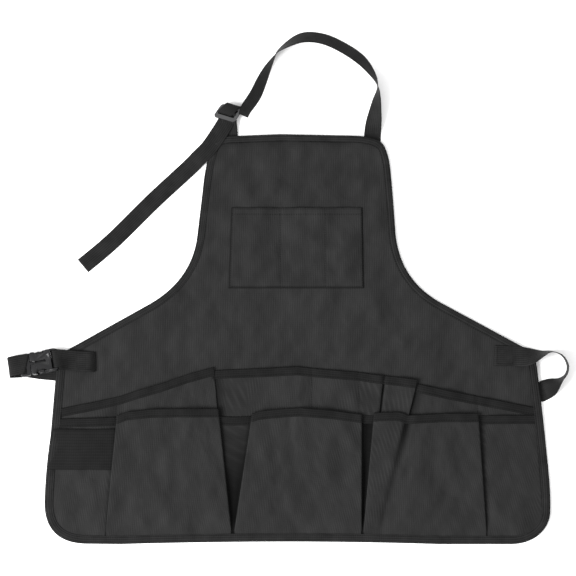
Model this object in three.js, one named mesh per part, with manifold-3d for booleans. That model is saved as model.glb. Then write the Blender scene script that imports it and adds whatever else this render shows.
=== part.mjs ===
// Artist's smock apron, lying face up with its straps spread out.
// Millimetres. +X to the wearer's left, +Y to the bib's top, +Z up out of the front.
import * as THREE from "three";
import { mergeVertices } from "three/addons/utils/BufferGeometryUtils.js";
import Module from "manifold-3d";

const wasm = await Module();
wasm.setup();

// Layers, counted up from the surface that the apron lies on.
const gap = 0.3;
const webbing = 1.2; // thickness of the woven straps
const cloth = 0.8;
const tape = 0.6; // one leaf of the folded edge binding
const panelBottom = webbing + gap;
const panelTop = panelBottom + cloth;
const bindingTop = panelTop + gap + tape;

// Widths
const bindingWidth = 12.5; // what shows of a 25 mm tape folded in half
const neckWidth = 25;
const waistWidth = 30;
const bandWidth = 63;

// Pockets
const puff = 5; // how far a pocket front stands off what is behind it
const upperBase = panelTop + gap;
const lowerBase = upperBase + cloth + gap;
const hemLine = -367.5; // where the pocket fronts meet the bottom binding

// Side-release buckle, in its own frame: x = 0 on the bar that the tab holds, mouth towards -x.
const buckle = {
  mouth: -38,
  end: 2.2,
  halfWidth: 19,
  thick: 9,
  cavity: 14.6,
  cavityHeight: 5.4,
  barRadius: 1.9,
  place: [-348, -105.5, 13],
  turn: 11,
  roll: -15,
};

// Strap slider, in its own frame: x along its bars, middle bar on x.
const slider = {
  halfWidth: 17,
  halfLength: 10.5,
  thick: 4,
  slotWidth: 27,
  barRadius: 1.8,
  place: [-88.5, 262.5, 9],
  turn: -17,
};

// ---------------------------------------------------------------- helpers

const rad = THREE.MathUtils.degToRad;

function solidOf(geometry) {
  const bare = geometry.clone();
  for (const name of Object.keys(bare.attributes)) {
    if (name !== "position") bare.deleteAttribute(name);
  }
  const merged = mergeVertices(bare, 1e-4);
  return new wasm.Manifold(
    new wasm.Mesh({
      numProp: 3,
      vertProperties: merged.attributes.position.array,
      triVerts: new Uint32Array(merged.index.array),
    }),
  );
}

function geometryOf(solid) {
  const mesh = solid.getMesh();
  const made = new THREE.BufferGeometry();
  made.setAttribute("position", new THREE.BufferAttribute(mesh.vertProperties, 3));
  made.setIndex(new THREE.BufferAttribute(mesh.triVerts, 1));
  return made;
}

function cut(geometry, ...tools) {
  let solid = solidOf(geometry);
  for (const tool of tools) solid = solid.subtract(solidOf(tool));
  return geometryOf(solid);
}

function join(geometry, ...others) {
  let solid = solidOf(geometry);
  for (const other of others) solid = solid.add(solidOf(other));
  return geometryOf(solid);
}

function block([x0, x1], [y0, y1], [z0, z1]) {
  const made = new THREE.BoxGeometry(x1 - x0, y1 - y0, z1 - z0);
  return made.translate((x0 + x1) / 2, (y0 + y1) / 2, (z0 + z1) / 2);
}

// A rod along y or x, centred on the origin.
function rod(radius, length, along) {
  const made = new THREE.CylinderGeometry(radius, radius, length, 16);
  return along === "x" ? made.rotateZ(Math.PI / 2) : made;
}

function indexed(points, triangles) {
  const positions = new Float32Array(points.flatMap((p) => [p.x, p.y, p.z]));
  let volume = 0;
  for (const [a, b, c] of triangles) {
    volume += points[a].dot(new THREE.Vector3().crossVectors(points[b], points[c]));
  }
  const facingOut = volume > 0 ? triangles : triangles.map(([a, b, c]) => [a, c, b]);
  const made = new THREE.BufferGeometry();
  made.setAttribute("position", new THREE.BufferAttribute(positions, 3));
  made.setIndex(facingOut.flat());
  return made;
}

// Sweeps a closed 2-D section through frames of { origin, u, w }, with both ends capped.
// Opposite faces are split along the same diagonal, so a thin strap can twist without crossing itself.
function loft(section, frames) {
  const sides = section.length;
  const points = frames.flatMap(({ origin, u, w }) =>
    section.map(([a, b]) => origin.clone().addScaledVector(u, a).addScaledVector(w, b)),
  );
  const triangles = [];
  for (let i = 0; i + 1 < frames.length; i++) {
    for (let k = 0; k < sides; k++) {
      const a = i * sides + k;
      const b = i * sides + ((k + 1) % sides);
      if (2 * k < sides) triangles.push([a, b, b + sides], [a, b + sides, a + sides]);
      else triangles.push([a, b, a + sides], [b, b + sides, a + sides]);
    }
  }
  const last = (frames.length - 1) * sides;
  const outline = section.map(([a, b]) => new THREE.Vector2(a, b));
  for (const [a, b, c] of THREE.ShapeUtils.triangulateShape(outline, [])) {
    triangles.push([a, c, b], [last + a, last + b, last + c]);
  }
  return indexed(points, triangles);
}

// A sheet of even upright thickness below a grid of points: rows run up the apron, columns across.
function sheet(rows, thickness) {
  const across = rows[0].length;
  const top = rows.flat();
  const count = top.length;
  const points = [...top, ...top.map((p) => p.clone().setZ(p.z - thickness))];
  const triangles = [];
  const quad = (a, b, c, d) => triangles.push([a, b, c], [a, c, d]);
  for (let r = 0; r + 1 < rows.length; r++) {
    for (let c = 0; c + 1 < across; c++) {
      const a = r * across + c;
      quad(a, a + 1, a + 1 + across, a + across);
      quad(count + a, count + a + across, count + a + 1 + across, count + a + 1);
    }
  }
  const rim = [];
  for (let c = 0; c < across; c++) rim.push(c);
  for (let r = 1; r < rows.length; r++) rim.push(r * across + across - 1);
  for (let c = across - 2; c >= 0; c--) rim.push((rows.length - 1) * across + c);
  for (let r = rows.length - 2; r > 0; r--) rim.push(r * across);
  rim.forEach((a, i) => {
    const b = rim[(i + 1) % rim.length];
    quad(a, count + a, count + b, b);
  });
  return indexed(points, triangles);
}

// A flat strap through stations of [x, y, roll in degrees, lift off the surface below it].
// Its lower edge lies on that surface, so a strap rolled 90 degrees stands on edge.
function strap(stations, width, steps) {
  const route = new THREE.CatmullRomCurve3(
    stations.map(([x, y, , lift]) => new THREE.Vector3(x, y, lift)),
  );
  const frames = [];
  for (let i = 0; i <= steps; i++) {
    const t = i / steps;
    const along = Math.min(t * (stations.length - 1), stations.length - 1 - 1e-9);
    const k = Math.floor(along);
    const roll = rad(THREE.MathUtils.lerp(stations[k][2], stations[k + 1][2], along - k));
    const heading = route.getTangent(t).setZ(0).normalize();
    const u = new THREE.Vector3(heading.y, -heading.x, 0).multiplyScalar(Math.cos(roll));
    u.z = Math.sin(roll);
    const w = new THREE.Vector3().crossVectors(u, heading);
    const origin = route.getPoint(t);
    origin.z = Math.max(origin.z, 0) + (Math.abs(u.z) * width + Math.abs(w.z) * webbing) / 2;
    frames.push({ origin, u, w });
  }
  const [a, b] = [width / 2, webbing / 2];
  return loft([[-a, -b], [a, -b], [a, b], [-a, b]], frames);
}

// A strap that bends round bars: centre points, and the direction of its width at each.
function wrap(points, widthWays, width) {
  const frames = points.map((origin, i) => {
    const before = points[Math.max(i - 1, 0)];
    const after = points[Math.min(i + 1, points.length - 1)];
    const heading = after.clone().sub(before).normalize();
    const u = widthWays[i];
    return { origin, u, w: new THREE.Vector3().crossVectors(u, heading).normalize() };
  });
  const [a, b] = [width / 2, webbing / 2];
  return loft([[-a, -b], [a, -b], [a, b], [-a, b]], frames);
}

function arc(centreX, centreY, radius, from, to, steps) {
  return Array.from({ length: steps + 1 }, (_, i) => {
    const angle = rad(THREE.MathUtils.lerp(from, to, i / steps));
    return [centreX + radius * Math.cos(angle), centreY + radius * Math.sin(angle)];
  });
}

const materials = {
  cloth: new THREE.MeshStandardMaterial({ color: 0x37383a, roughness: 0.85 }),
  binding: new THREE.MeshStandardMaterial({ color: 0x2b2b2d, roughness: 0.9 }),
  strap: new THREE.MeshStandardMaterial({ color: 0x2a2a2c, roughness: 0.85 }),
  plastic: new THREE.MeshStandardMaterial({ color: 0x303134, roughness: 0.35 }),
};

function part(name, geometry, kind) {
  geometry.computeVertexNormals();
  const made = new THREE.Mesh(geometry, materials[kind].clone());
  made.name = name;
  return made;
}

// ---------------------------------------------------------------- outline

const steps = 7; // points along each curved stretch

// Clockwise from the bib's left corner, with the four runs that each binding strip covers.
const runs = {
  bibTop: new THREE.Path()
    .moveTo(-112, 217)
    .quadraticCurveTo(-104, 226, -88, 227)
    .lineTo(-12, 230)
    .lineTo(96, 228)
    .quadraticCurveTo(136, 227, 144, 213),
  armholeRight: new THREE.Path()
    .moveTo(144, 213)
    .quadraticCurveTo(152, 198, 154, 172)
    .quadraticCurveTo(158, 130, 161, 84)
    .quadraticCurveTo(167, 10, 232, -24)
    .lineTo(360, -93),
  skirt: new THREE.Path()
    .moveTo(360, -93)
    .quadraticCurveTo(372, -101, 374, -128)
    .quadraticCurveTo(384, -205, 391, -280)
    .quadraticCurveTo(394, -312, 393, -338)
    .bezierCurveTo(391, -362, 370, -384, 335, -384.5)
    .lineTo(228, -384.5)
    .quadraticCurveTo(0, -377, -250, -384.5)
    .lineTo(-300, -384)
    .bezierCurveTo(-340, -384, -364, -366, -365, -325)
    .quadraticCurveTo(-364, -275, -356, -222)
    .lineTo(-348, -130)
    .quadraticCurveTo(-346, -102, -334, -95),
  armholeLeft: new THREE.Path()
    .moveTo(-334, -95)
    .lineTo(-212, -27)
    .quadraticCurveTo(-144, 10, -136, 78)
    .quadraticCurveTo(-132, 112, -128, 145)
    .quadraticCurveTo(-124, 190, -112, 217),
};

// Outline points with the inward direction at each, scaled so that offsets stay parallel.
const outline = [];
const spans = {};
for (const [name, path] of Object.entries(runs)) {
  const first = outline.length;
  outline.push(...path.getPoints(steps).slice(0, -1).map((p) => ({ p })));
  spans[name] = [first, outline.length];
}
outline.forEach((station, i) => {
  const before = outline[(i + outline.length - 1) % outline.length].p;
  const after = outline[(i + 1) % outline.length].p;
  const a = station.p.clone().sub(before).normalize();
  const b = after.clone().sub(station.p).normalize();
  station.along = a.clone().add(b).normalize();
  const inward = new THREE.Vector2(station.along.y, -station.along.x);
  station.inward = inward.divideScalar(inward.dot(new THREE.Vector2(b.y, -b.x)));
});

function inset(distance) {
  return outline.map(({ p, inward }) => p.clone().addScaledVector(inward, distance));
}

// ---------------------------------------------------------------- panel and bindings

const edgeWall = 1;

function mainPanel() {
  const shape = new THREE.Shape(inset(edgeWall + gap));
  const made = new THREE.ExtrudeGeometry(shape, { depth: cloth, bevelEnabled: false });
  return part("main_panel", made.translate(0, 0, panelBottom), "cloth");
}

// Folded tape round the panel's edge: a lower leaf, an outer wall and an upper leaf.
const bindingSection = [
  [0, 0],
  [bindingWidth, 0],
  [bindingWidth, panelBottom - gap],
  [edgeWall, panelBottom - gap],
  [edgeWall, panelTop + gap],
  [bindingWidth, panelTop + gap],
  [bindingWidth, bindingTop],
  [0, bindingTop],
];

function binding(name, run, ...clearings) {
  const [first, end] = spans[run];
  const frames = [];
  for (let i = first; i <= end; i++) {
    const { p, along, inward } = outline[i % outline.length];
    const back = i === first ? gap / 2 : i === end ? -gap / 2 : 0;
    frames.push({
      origin: new THREE.Vector3(p.x + along.x * back, p.y + along.y * back, 0),
      u: new THREE.Vector3(inward.x, inward.y, 0),
      w: new THREE.Vector3(0, 0, 1),
    });
  }
  const made = loft(bindingSection, frames);
  return part(name, clearings.length ? cut(made, ...clearings) : made, "binding");
}

const underPanel = [-1, panelBottom]; // height of what passes below the panel's edge

function bindings() {
  const neckStrapRoot = block([113.5, 140.5], [184, 240], underPanel);
  const neckTabRoot = block([-99, -73.5], [195, 240], underPanel);
  return [
    binding("binding_bib_top", "bibTop", neckStrapRoot, neckTabRoot),
    binding("binding_armhole_right", "armholeRight", neckStrapRoot),
    binding(
      "binding_skirt",
      "skirt",
      block([350, 400], [-174, -140], underPanel),
      block([-380, -325], [-150, -107], underPanel),
    ),
    binding("binding_armhole_left", "armholeLeft"),
  ];
}

// ---------------------------------------------------------------- pockets

const bevel = 8; // width of a pocket's sloping side

// A row of pockets from one strip of cloth. Each seam is flat between a left and a right line,
// which run straight from the hem to the mouth; between seams the cloth stands off by rise.
function pocketStrip(seams, { base, rise, toe }) {
  const columns = seams.flatMap((seam, i) => {
    const own = [];
    if (i > 0) own.push({ ...seam, side: 0, off: -bevel, up: 1 });
    own.push({ ...seam, side: 0, off: 0, up: 0 });
    own.push({ ...seam, side: 1, off: 0, up: 0 });
    if (i + 1 < seams.length) own.push({ ...seam, side: 1, off: bevel, up: 1 });
    return own;
  });
  const at = (column, level) => {
    const { hem, mouth, side, off, up, hemY = hemLine, mouthY } = column;
    const t = level === 1 ? toe / (mouthY[side] - hemY) : level / 2;
    const x = THREE.MathUtils.lerp(hem[side], mouth[side], t) + off;
    const y = THREE.MathUtils.lerp(hemY, mouthY[side], t);
    return new THREE.Vector3(x, y, base + cloth + (level > 0 ? up * rise : 0));
  };
  return [0, 1, 2].map((level) => columns.map((column) => at(column, level)));
}

// Folded tape over a pocket's mouth: the part that shows on the front and over the edge.
const mouthSection = [
  [-1, -cloth],
  [-gap, -cloth],
  [-gap, gap],
  [11, gap],
  [11, gap + tape],
  [-1, gap + tape],
];

function mouthBinding(name, [, toeRow, mouthRow]) {
  const frames = mouthRow.map((origin, i) => {
    const down = toeRow[i].clone().sub(origin).setZ(0);
    return { origin, u: down.divideScalar(-down.y), w: new THREE.Vector3(0, 0, 1) };
  });
  return part(name, loft(mouthSection, frames), "binding");
}

const upperSeams = [
  { hem: [-350, -349], mouth: [-339.5, -338], mouthY: [-182, -182], hemY: -325 },
  { hem: [-279, -267], mouth: [-262, -246], mouthY: [-166, -163] },
  { hem: [-83.5, -81.5], mouth: [-114, -44], mouthY: [-121, -123] },
  { hem: [109.5, 111.5], mouth: [103, 146], mouthY: [-127, -132] },
  { hem: [297.5, 299.5], mouth: [279, 300], mouthY: [-162, -167] },
  { hem: [379, 379.5], mouth: [366.5, 367.5], mouthY: [-179, -179], hemY: -335 },
];

const lowerSeams = [
  { hem: [-350.3, -349.5], mouth: [-340.9, -340], mouthY: [-197, -197], hemY: -325 },
  { hem: [-278, -268], mouth: [-260, -250], mouthY: [-195, -194] },
  { hem: [-83, -82], mouth: [-104, -54], mouthY: [-184, -190] },
  { hem: [110, 111], mouth: [109.5, 127.5], mouthY: [-190, -188] },
  { hem: [298, 299], mouth: [285, 297], mouthY: [-190, -192] },
  { hem: [379.3, 380], mouth: [368, 368.8], mouthY: [-194, -194], hemY: -335 },
];

const bibSeams = [
  { hem: [-88.5, -88], mouth: [-84, -83.5], mouthY: [119.5, 119.5], hemY: 0 },
  { hem: [-12.5, -11.5], mouth: [-12.5, -11.5], mouthY: [119.5, 119.5], hemY: 0 },
  { hem: [55, 56], mouth: [55, 56], mouthY: [119.5, 119.5], hemY: 0 },
  { hem: [112.5, 113], mouth: [110.5, 111], mouthY: [119.5, 119.5], hemY: 0 },
];

function pockets() {
  const upper = pocketStrip(upperSeams, { base: upperBase, rise: puff, toe: 14 });
  const lower = pocketStrip(lowerSeams, { base: lowerBase, rise: 2 * puff, toe: 12 });
  const bib = pocketStrip(bibSeams, { base: upperBase, rise: puff, toe: 9 });
  return [
    part("bib_pocket", sheet(bib, cloth), "cloth"),
    part("upper_pocket_panel", sheet(upper, cloth), "cloth"),
    mouthBinding("upper_pocket_binding", upper),
    part("lower_pocket_panel", sheet(lower, cloth), "cloth"),
    mouthBinding("lower_pocket_binding", lower),
  ];
}

// Wide webbing from the first pocket seam over the left edge: a loop for a brush or hammer.
function sideLoopBand() {
  const centreY = -242;
  const profile = [
    [-259.9, 5.5],
    [-259.9, 14],
    [-262.5, 18],
    [-271, 20.2],
    [-336, 20.2],
    [-351, 17],
    [-361, 9],
    [-366.5, 1],
  ];
  const points = profile.map(([x, z]) => new THREE.Vector3(x, centreY, z));
  const across = points.map(() => new THREE.Vector3(0, 1, 0));
  return part("side_loop_band", wrap(points, across, bandWidth), "strap");
}

// ---------------------------------------------------------------- neck strap

function neckStrap() {
  const stations = [
    [126.5, 186, 0, 0],
    [126.8, 229, 0, 0],
    [128.3, 246, 18, 0],
    [130.5, 264, 43, 0],
    [132.8, 282, 63, 0],
    [134.3, 299, 88, 0],
    [128, 317, 112, 0],
    [109, 341, 132, 0],
    [79, 361, 134, 0],
    [49, 373, 134, 0],
    [19, 373.5, 130, 0],
    [-11, 357, 104, 0],
    [-20, 346, 88, 0],
    [-31, 327, 68, 0],
    [-40, 308, 42, 0],
    [-48, 290, 24, 0],
    [-58, 273, 6, 0],
    [-67, 262, 0, 0],
    [-80, 256, 0, 0],
  ];
  return part("neck_strap", strap(stations, neckWidth, 54), "strap");
}

function neckStrapTail() {
  const overEdge = bindingTop + gap;
  const stations = [
    [-94, 246, 0, overEdge + 2],
    [-105, 229, 0, overEdge],
    [-119, 209, 0, overEdge],
    [-133, 195, 0, overEdge],
    [-150, 178, 0, 1],
    [-201, 131, 0, 0],
    [-262, 71, 0, 0],
    [-307.5, 32.5, 0, 0],
  ];
  return part("neck_strap_tail", strap(stations, neckWidth, 28), "strap");
}

// Points of a slider-frame or buckle-frame profile, given as [across the bars, up].
function inFrame(profile, along) {
  return profile.map(([a, z]) =>
    along === "y" ? new THREE.Vector3(0, a, z) : new THREE.Vector3(a, 0, z),
  );
}

// Short doubled webbing that holds the slider: a ring round its middle bar and a leg to the bib.
function neckTab() {
  const inner = slider.barRadius + gap;
  const [x, y, z] = slider.place;
  const legBottom = z - inner - webbing - 0.7;
  const half = 11.3;
  // Centre line of the leg, from the ring down to the bib, and how far its rows follow the bar's turn.
  const leg = [
    [x, y + 1, legBottom, 1],
    [x, y - 1, legBottom, 1],
    [x + 0.3, y - 5, legBottom - 0.7, 1],
    [x + 0.5, y - 9, legBottom - 1.2, 1],
    [x + 0.8, y - 15, legBottom - 1.8, 0.8],
    [x + 1.8, y - 29, 1, 0.3],
    [x + 2.3, y - 36, 0.1, 0],
    [x + 2.3, y - 66, 0.1, 0],
  ];
  const rows = leg.map(([lx, ly, lz, follow]) => {
    const rise = half * Math.tan(rad(slider.turn)) * follow;
    const left = new THREE.Vector3(lx - half, ly - rise, lz + 1.1);
    return [left, new THREE.Vector3(lx + half, ly + rise, lz + 1.1)];
  });
  const strip = sheet(rows.reverse(), 1.1);
  const ring = cut(rod(inner + webbing, 2 * half, "x"), rod(inner, 40, "x"));
  ring.rotateZ(rad(slider.turn)).translate(x, y, z);
  return part("neck_tab", join(ring, strip), "strap");
}

function sliderBody() {
  const { halfWidth, halfLength, thick, slotWidth, barRadius } = slider;
  const corner = 5;
  const shape = new THREE.Shape()
    .moveTo(-halfWidth + corner, -halfLength)
    .lineTo(halfWidth - corner, -halfLength)
    .quadraticCurveTo(halfWidth, -halfLength, halfWidth, -halfLength + corner)
    .lineTo(halfWidth, halfLength - corner)
    .quadraticCurveTo(halfWidth, halfLength, halfWidth - corner, halfLength)
    .lineTo(-halfWidth + corner, halfLength)
    .quadraticCurveTo(-halfWidth, halfLength, -halfWidth, halfLength - corner)
    .lineTo(-halfWidth, -halfLength + corner)
    .quadraticCurveTo(-halfWidth, -halfLength, -halfWidth + corner, -halfLength);
  const frame = new THREE.ExtrudeGeometry(shape, {
    depth: thick - 1.6,
    bevelThickness: 0.8,
    bevelSize: 0.8,
    bevelOffset: -0.8,
    bevelSegments: 3,
    curveSegments: 6,
  }).translate(0, 0, 0.8 - thick / 2);
  const window = block([-slotWidth / 2, slotWidth / 2], [-7.4, 7.4], [-thick, thick]);
  const bar = rod(barRadius, slotWidth + 2, "x");
  return part("strap_slider", join(cut(frame, window), bar), "plastic");
}

// The stretch of neck strap that is threaded through the slider.
function neckStrapWrap() {
  const run = -slider.thick / 2 - gap - webbing / 2;
  const radius = slider.barRadius + 2 * gap + webbing * 1.5 + 0.2;
  const profile = [
    [13, run],
    [8, run],
    [5.6, run + 0.5],
    ...arc(0, 0.2, radius, -12, 192, 12),
    [-5.6, run + 0.5],
    [-8, run],
    [-13, run],
  ];
  const points = inFrame(profile, "y");
  const across = points.map(() => new THREE.Vector3(1, 0, 0));
  return part("neck_strap_wrap", wrap(points, across, neckWidth), "strap");
}

// ---------------------------------------------------------------- waist strap and buckle

function waistStrap() {
  const overEdge = bindingTop + gap;
  const stations = [
    [309, -101.5, 0, overEdge],
    [340, -102.5, 0, overEdge],
    [358, -103, 25, overEdge],
    [378, -99, 70, 2],
    [391, -95.5, 88, 0],
    [403.5, -97.5, 90, 0],
    [412.5, -104, 90, 0],
    [418.8, -117, 90, 0],
    [416, -129, 90, 0],
    [407, -138, 100, 0],
    [396, -146, 140, 0],
    [386, -153, 176, 0],
    [374, -157, 180, 0],
    [330, -157, 180, 0],
    [0, -142, 180, 0],
    [-328, -127, 180, 0],
  ];
  return part("waist_strap", strap(stations, waistWidth, 64), "strap");
}

function buckleGroup() {
  const made = new THREE.Group();
  made.position.set(...buckle.place);
  made.rotation.order = "ZXY";
  made.rotation.set(rad(buckle.roll), 0, rad(buckle.turn));
  made.updateMatrixWorld();
  return made;
}

// Webbing sewn to the apron's left front, rising to a ring round the buckle's bar.
function waistTab(group) {
  const inner = buckle.barRadius + gap;
  const ring = cut(rod(inner + webbing, waistWidth, "y"), rod(inner, 40, "y"));
  ring.applyMatrix4(group.matrixWorld);
  const front = bindingTop + gap + webbing / 2;
  const foot = new THREE.Vector3(1, 0, -inner - 0.7).applyMatrix4(group.matrixWorld);
  const points = [
    new THREE.Vector3(-288, -111.5, front),
    new THREE.Vector3(-318, -109.5, front),
    new THREE.Vector3(-333, -107.5, front + 2.8),
    foot,
  ];
  const flat = new THREE.Vector3(0, 1, 0);
  const rolled = flat.clone().transformDirection(group.matrixWorld);
  const ways = [flat, flat, flat.clone().lerp(rolled, 0.4).normalize(), rolled];
  return part("waist_tab", join(wrap(points, ways, waistWidth), ring), "strap");
}

function buckleFemale() {
  const { mouth, end, halfWidth, thick, cavity, cavityHeight, barRadius } = buckle;
  const corner = 5;
  const shape = new THREE.Shape()
    .moveTo(mouth, -halfWidth + 3)
    .quadraticCurveTo(mouth + 1, -halfWidth, mouth + 6, -halfWidth)
    .lineTo(end - corner, -halfWidth)
    .quadraticCurveTo(end, -halfWidth, end, -halfWidth + corner)
    .lineTo(end, halfWidth - corner)
    .quadraticCurveTo(end, halfWidth, end - corner, halfWidth)
    .lineTo(mouth + 6, halfWidth)
    .quadraticCurveTo(mouth + 1, halfWidth, mouth, halfWidth - 3)
    .lineTo(mouth, 4)
    .lineTo(mouth + 6, 1.6)
    .lineTo(mouth + 6, -1.6)
    .lineTo(mouth, -4);
  const body = new THREE.ExtrudeGeometry(shape, {
    depth: thick - 2.4,
    bevelThickness: 1.2,
    bevelSize: 1,
    bevelOffset: -1,
    bevelSegments: 3,
    curveSegments: 6,
  }).translate(0, 0, 1.2 - thick / 2);
  const halfSlot = waistWidth / 2 + 0.6;
  const made = cut(
    body,
    block([mouth - 2, mouth + 28], [-cavity, cavity], [-cavityHeight / 2, cavityHeight / 2]),
    block([mouth + 8, mouth + 20], [-halfWidth - 2, halfWidth + 2], [-3.2, 3.2]),
    block([mouth + 9, mouth + 21], [-1.1, 1.1], [0, thick]),
    block([-6.5, 0.2], [-halfSlot, halfSlot], [-thick, thick]),
    block([-0.2, end + 2], [-halfSlot, halfSlot], [-thick, thick]),
  );
  return part("buckle_female", join(made, rod(barRadius, 2 * halfSlot + 2, "y")), "plastic");
}

function buckleMale() {
  const { mouth, halfWidth } = buckle;
  const outer = mouth - 16.5;
  const corner = 4;
  const shape = new THREE.Shape()
    .moveTo(mouth - 0.4, -halfWidth + 3)
    .lineTo(mouth - 0.4, halfWidth - 3)
    .lineTo(mouth - 3, halfWidth)
    .lineTo(outer + corner, halfWidth)
    .quadraticCurveTo(outer, halfWidth, outer, halfWidth - corner)
    .lineTo(outer, -halfWidth + corner)
    .quadraticCurveTo(outer, -halfWidth, outer + corner, -halfWidth)
    .lineTo(mouth - 3, -halfWidth);
  const frame = new THREE.ExtrudeGeometry(shape, {
    depth: 3.6,
    bevelThickness: 0.9,
    bevelSize: 0.9,
    bevelOffset: -0.9,
    bevelSegments: 3,
    curveSegments: 6,
  }).translate(0, 0, -1.8);
  const halfSlot = waistWidth / 2 + 0.6;
  const slot = block([outer + 3.6, outer + 10], [-halfSlot, halfSlot], [-9, 9]);
  const guide = block([mouth - 2, mouth + 22], [-3, 3], [-1.8, 1.8]);
  return part("buckle_male", join(cut(frame, slot), guide), "plastic");
}

// One springy prong: a slim arm with a rounded thumb grip that fills the buckle's side window.
function latchArm(name, side) {
  const { mouth } = buckle;
  const shape = new THREE.Shape()
    .moveTo(mouth + 0.6, 8.2)
    .lineTo(mouth + 0.6, 11.4)
    .lineTo(mouth + 8.6, 13.4)
    .quadraticCurveTo(mouth + 9.4, 18.2, mouth + 14, 18.4)
    .quadraticCurveTo(mouth + 19, 18.2, mouth + 19.4, 13.6)
    .lineTo(mouth + 21, 12.6)
    .lineTo(mouth + 21, 10.4)
    .lineTo(mouth + 9, 9.8);
  const made = new THREE.ExtrudeGeometry(shape, {
    depth: 3,
    bevelThickness: 0.6,
    bevelSize: 0.5,
    bevelOffset: -0.5,
    bevelSegments: 2,
    curveSegments: 6,
  }).translate(0, 0, -1.5);
  if (side < 0) made.rotateX(Math.PI);
  return part(name, made, "plastic");
}

// The strap's free end: in under the buckle, round in a loop and over the male half's bar.
function waistStrapEnd(group) {
  const rolled = new THREE.Vector3(0, 1, 0).transformDirection(group.matrixWorld);
  const flat = new THREE.Vector3(0, 1, 0);
  const under = [
    [-332, -126, 0.62],
    [-350, -124.5, 0.62],
    [-372, -122.5, 0.62],
    [-396, -119, 0.7],
    [-408, -117, 1.4],
  ].map((p) => new THREE.Vector3(...p));
  const bar = buckle.mouth - 16.5 + 1.8;
  const over = [
    ...arc(bar - 12, -2.2, 6.6, 250, 110, 7),
    [bar - 5, 4.2],
    [bar, 4.1],
    [bar + 3.6, 3],
    [bar + 5, 0],
    [bar + 5, -4],
  ];
  const top = inFrame(over, "x").map((p) => p.applyMatrix4(group.matrixWorld));
  const ways = under.map(() => flat);
  top.forEach((_, i) => ways.push(flat.clone().lerp(rolled, Math.min(i / 5, 1)).normalize()));
  return part("waist_strap_end", wrap([...under, ...top], ways, waistWidth), "strap");
}

// ---------------------------------------------------------------- assembly

const apron = new THREE.Group();
apron.add(mainPanel(), ...bindings(), ...pockets(), sideLoopBand());
apron.add(neckStrap(), neckStrapTail(), neckTab());

const sliderGroup = new THREE.Group();
sliderGroup.position.set(...slider.place);
sliderGroup.rotation.z = rad(slider.turn);
sliderGroup.add(sliderBody(), neckStrapWrap());
apron.add(sliderGroup);

const clasp = buckleGroup();
apron.add(waistStrap(), waistTab(clasp), waistStrapEnd(clasp), clasp);
clasp.add(buckleFemale(), buckleMale());
clasp.add(latchArm("latch_arm_upper", 1), latchArm("latch_arm_lower", -1));

export default apron;
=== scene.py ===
# Artist's smock apron, lying face up with its straps spread out.
# The settings are in millimetres and degrees; meshes are made in metres.
import math
import bpy
import bmesh
from mathutils import Matrix, Vector, noise
from mathutils.geometry import delaunay_2d_cdt


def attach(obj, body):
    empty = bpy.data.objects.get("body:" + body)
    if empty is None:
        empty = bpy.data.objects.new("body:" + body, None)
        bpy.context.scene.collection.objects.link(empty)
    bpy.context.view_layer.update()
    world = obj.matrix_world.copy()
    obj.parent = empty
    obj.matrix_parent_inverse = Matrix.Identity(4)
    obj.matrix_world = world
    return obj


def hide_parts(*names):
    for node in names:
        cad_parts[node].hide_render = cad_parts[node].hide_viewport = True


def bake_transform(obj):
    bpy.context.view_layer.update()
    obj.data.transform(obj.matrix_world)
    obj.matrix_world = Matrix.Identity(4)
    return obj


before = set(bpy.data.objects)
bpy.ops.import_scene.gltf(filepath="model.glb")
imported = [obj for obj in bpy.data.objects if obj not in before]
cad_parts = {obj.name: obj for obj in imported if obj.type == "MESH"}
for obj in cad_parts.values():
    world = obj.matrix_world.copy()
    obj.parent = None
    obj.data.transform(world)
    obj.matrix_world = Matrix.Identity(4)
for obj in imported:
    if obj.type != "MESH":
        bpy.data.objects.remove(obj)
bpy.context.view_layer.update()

scene = bpy.context.scene


def linear(colour):
    # sRGB hex to the linear values that a shader socket takes
    parts = [int(colour[i:i + 2], 16) / 255 for i in (1, 3, 5)]
    return (*[c / 12.92 if c <= 0.04045 else ((c + 0.055) / 1.055) ** 2.4 for c in parts], 1)


def addNode(material, kind, settings=None, links=None):
    node = material.node_tree.nodes.new("ShaderNode" + kind)
    for key, value in (settings or {}).items():
        if isinstance(key, int) or key in node.inputs:
            node.inputs[key].default_value = value
        else:
            setattr(node, key, value)
    for key, source in (links or {}).items():
        if isinstance(source, bpy.types.Node):  # its factor, or else its only live output
            source = source.outputs.get("Fac") or next(s for s in source.outputs if s.enabled)
        material.node_tree.links.new(source, node.inputs[key])
    return node


def newPiece(name, points, faces, uvs=None):
    # points and uvs in millimetres; the uv map keeps the cloth's own flat lengths
    mesh = bpy.data.meshes.new(name)
    mesh.from_pydata([(x / 1000, y / 1000, z / 1000) for x, y, z in points], [], faces)
    if uvs:
        layer = mesh.uv_layers.new(name="weave")
        flat = [c / 1000 for loop in mesh.loops for c in uvs[loop.vertex_index]]
        layer.data.foreach_set("uv", flat)
    mesh.shade_smooth()
    piece = bpy.data.objects.new(name, mesh)
    scene.collection.objects.link(piece)
    return piece


def gridFaces(rows, columns, wrap=False):
    # rows and columns of points, listed row by row; wrap joins the last column to the first
    faces = []
    for r in range(rows - 1):
        for c in range(columns if wrap else columns - 1):
            d = (c + 1) % columns
            faces.append((r * columns + c, r * columns + d, (r + 1) * columns + d, (r + 1) * columns + c))
    return faces


def useModifier(piece, kind, **settings):
    modifier = piece.modifiers.new(kind, kind)
    for key, value in settings.items():
        setattr(modifier, key, value)
    with bpy.context.temp_override(object=piece, active_object=piece, selected_objects=[piece]):
        bpy.ops.object.modifier_apply(modifier=modifier.name)


def thicken(piece, thickness):
    useModifier(piece, "SOLIDIFY", thickness=thickness / 1000, offset=-1)


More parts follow.
